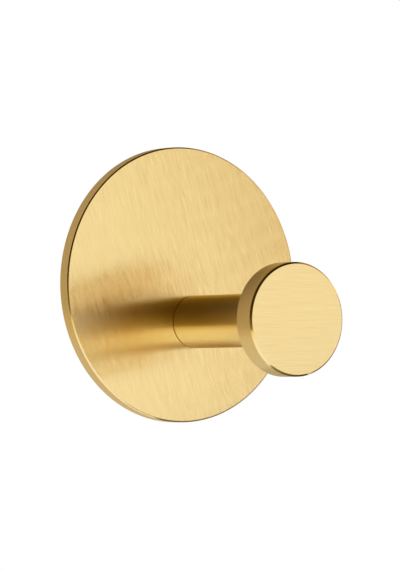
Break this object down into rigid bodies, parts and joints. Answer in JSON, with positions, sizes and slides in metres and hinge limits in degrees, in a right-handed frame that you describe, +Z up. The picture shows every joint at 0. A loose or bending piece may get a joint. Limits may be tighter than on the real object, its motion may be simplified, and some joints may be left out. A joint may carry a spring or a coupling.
{
  "type": "wall hook",
  "caption": "Round brushed-metal wall hook: a thin disc backplate with a straight round post below its centre and a disc head that keeps a towel or robe loop on.",
  "frame": {"origin": "centre of the adhesive pad's wall face, on the backplate's axis", "axes": "+Y is the wall face's outward normal, into the wall, so the hook stands out along -Y; +Z is up; +X is to the right of someone facing the hook"},
  "size_m": [0.06, 0.0419, 0.06],
  "materials": {
    "brushed_brass_plate": "pale gold, brushed in straight lines across the face, polished edge break",
    "turned_brass_post": "pale gold, brushed round its length",
    "brushed_brass_head": "pale gold, brushed in straight lines across the face, polished edge break",
    "screw_steel": "plain stainless steel",
    "adhesive_foam": "matt pale grey acrylic foam"
  },
  "bodies": {
    "root": {"backplate": "brushed_brass_plate", "post": "turned_brass_post", "head": "brushed_brass_head", "post_screw": "screw_steel", "adhesive_pad": "adhesive_foam"}
  },
  "joints": []
}
